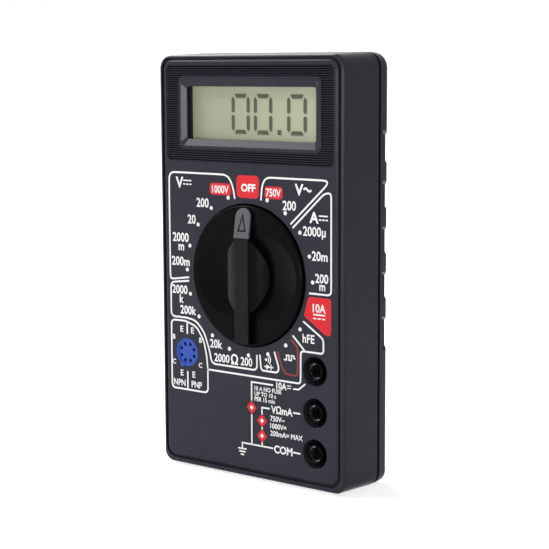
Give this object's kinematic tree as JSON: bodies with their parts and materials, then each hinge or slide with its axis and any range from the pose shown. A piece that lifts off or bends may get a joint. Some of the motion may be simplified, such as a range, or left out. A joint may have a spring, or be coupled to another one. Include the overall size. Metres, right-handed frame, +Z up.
{
  "type": "pocket digital multimeter",
  "caption": "Pocket digital multimeter with a liquid crystal display, round range switch, transistor socket and a column of test sockets.",
  "frame": {"origin": "centre of the footprint at the lower edge of the case", "axes": "+Z up along the case, +X to the right as seen from the face, -Y out of the face"},
  "size_m": [0.07, 0.025, 0.126],
  "materials": {
    "case_plastic": "finely textured moulding",
    "black_plastic": "satin moulding",
    "grey_plastic": "satin",
    "blue_plastic": "satin moulding",
    "clear_window": "polished",
    "lcd_glass": "reflective liquid crystal cell",
    "strip_rubber": "matte",
    "board": "solder resist",
    "gold_plate": "plated",
    "spring_brass": "bright",
    "brass": "bright",
    "steel": "bright",
    "solder": "bright tin",
    "copper_wire": "drawn wire",
    "battery_jacket": "printed thin metal jacket over the cells",
    "red_sheath": "smooth",
    "black_sheath": "smooth",
    "foam": "open foam",
    "epoxy": "potting compound",
    "resistor_coat": "lacquer",
    "can": "printed sleeve on an aluminium can",
    "film_coat": "dipped coating"
  },
  "bodies": {
    "case": {"front_case": "case_plastic", "rear_case": "case_plastic", "display_window": "clear_window", "lcd_panel": "lcd_glass", "lcd_frame": "black_plastic", "zebra_strip": "strip_rubber", "circuit_board": "board", "switch_tracks": "gold_plate", "transistor_socket": "blue_plastic", "transistor_contacts": "spring_brass", "solder_joints": "solder", "shunt_wire": "copper_wire", "fuse_glass": "clear_window", "fuse_caps": "steel", "fuse_element": "solder", "fuse_clips": "spring_brass", "battery": "battery_jacket", "battery_terminals": "steel", "battery_snap": "black_plastic", "snap_contacts": "steel", "battery_lead_red": "red_sheath", "battery_lead_black": "black_sheath", "battery_pad": "foam", "piezo_buzzer": "black_plastic", "chip_blob": "epoxy", "trimmer_body": "blue_plastic", "resistor_bodies": "resistor_coat", "resistor_leads": "solder", "diodes": "epoxy", "diode_leads": "solder", "electrolytic_capacitor": "can", "film_capacitors": "film_coat", "transistor_bodies": "epoxy", "transistor_legs": "solder", "board_screws": "steel", "case_screws": "steel", "jack_10a": "brass", "jack_volt_ohm": "brass", "jack_common": "brass", "collar_10a": "black_plastic", "collar_volt_ohm": "black_plastic", "collar_common": "black_plastic"},
    "dial": {"dial_knob": "black_plastic", "dial_pointer": "grey_plastic", "pointer_mark": "black_plastic", "wiper_contacts": "spring_brass", "detent_spring_upper": "steel", "detent_spring_lower": "steel"},
    "ball_upper": {"detent_ball_upper": "steel"},
    "ball_lower": {"detent_ball_lower": "steel"},
    "trimmer": {"trimmer_rotor": "grey_plastic"}
  },
  "joints": [
    {"name": "dial_turn", "type": "hinge", "parent": "case", "child": "dial", "pos_m": [0, -0.0038, 0.0612], "axis": [0, 1, 0], "continuous": true},
    {"name": "detent_upper_slide", "type": "slide", "parent": "dial", "child": "ball_upper", "axis": [0, 0, 1], "range_m": [0, 0.0006], "deforming": ["detent_spring_upper"]},
    {"name": "detent_lower_slide", "type": "slide", "parent": "dial", "child": "ball_lower", "axis": [0, 0, -1], "range_m": [0, 0.0006], "deforming": ["detent_spring_lower"]},
    {"name": "trimmer_turn", "type": "hinge", "parent": "case", "child": "trimmer", "pos_m": [0.004, 0.0034, 0.082], "axis": [0, 1, 0], "range_deg": [-105, 105]}
  ]
}
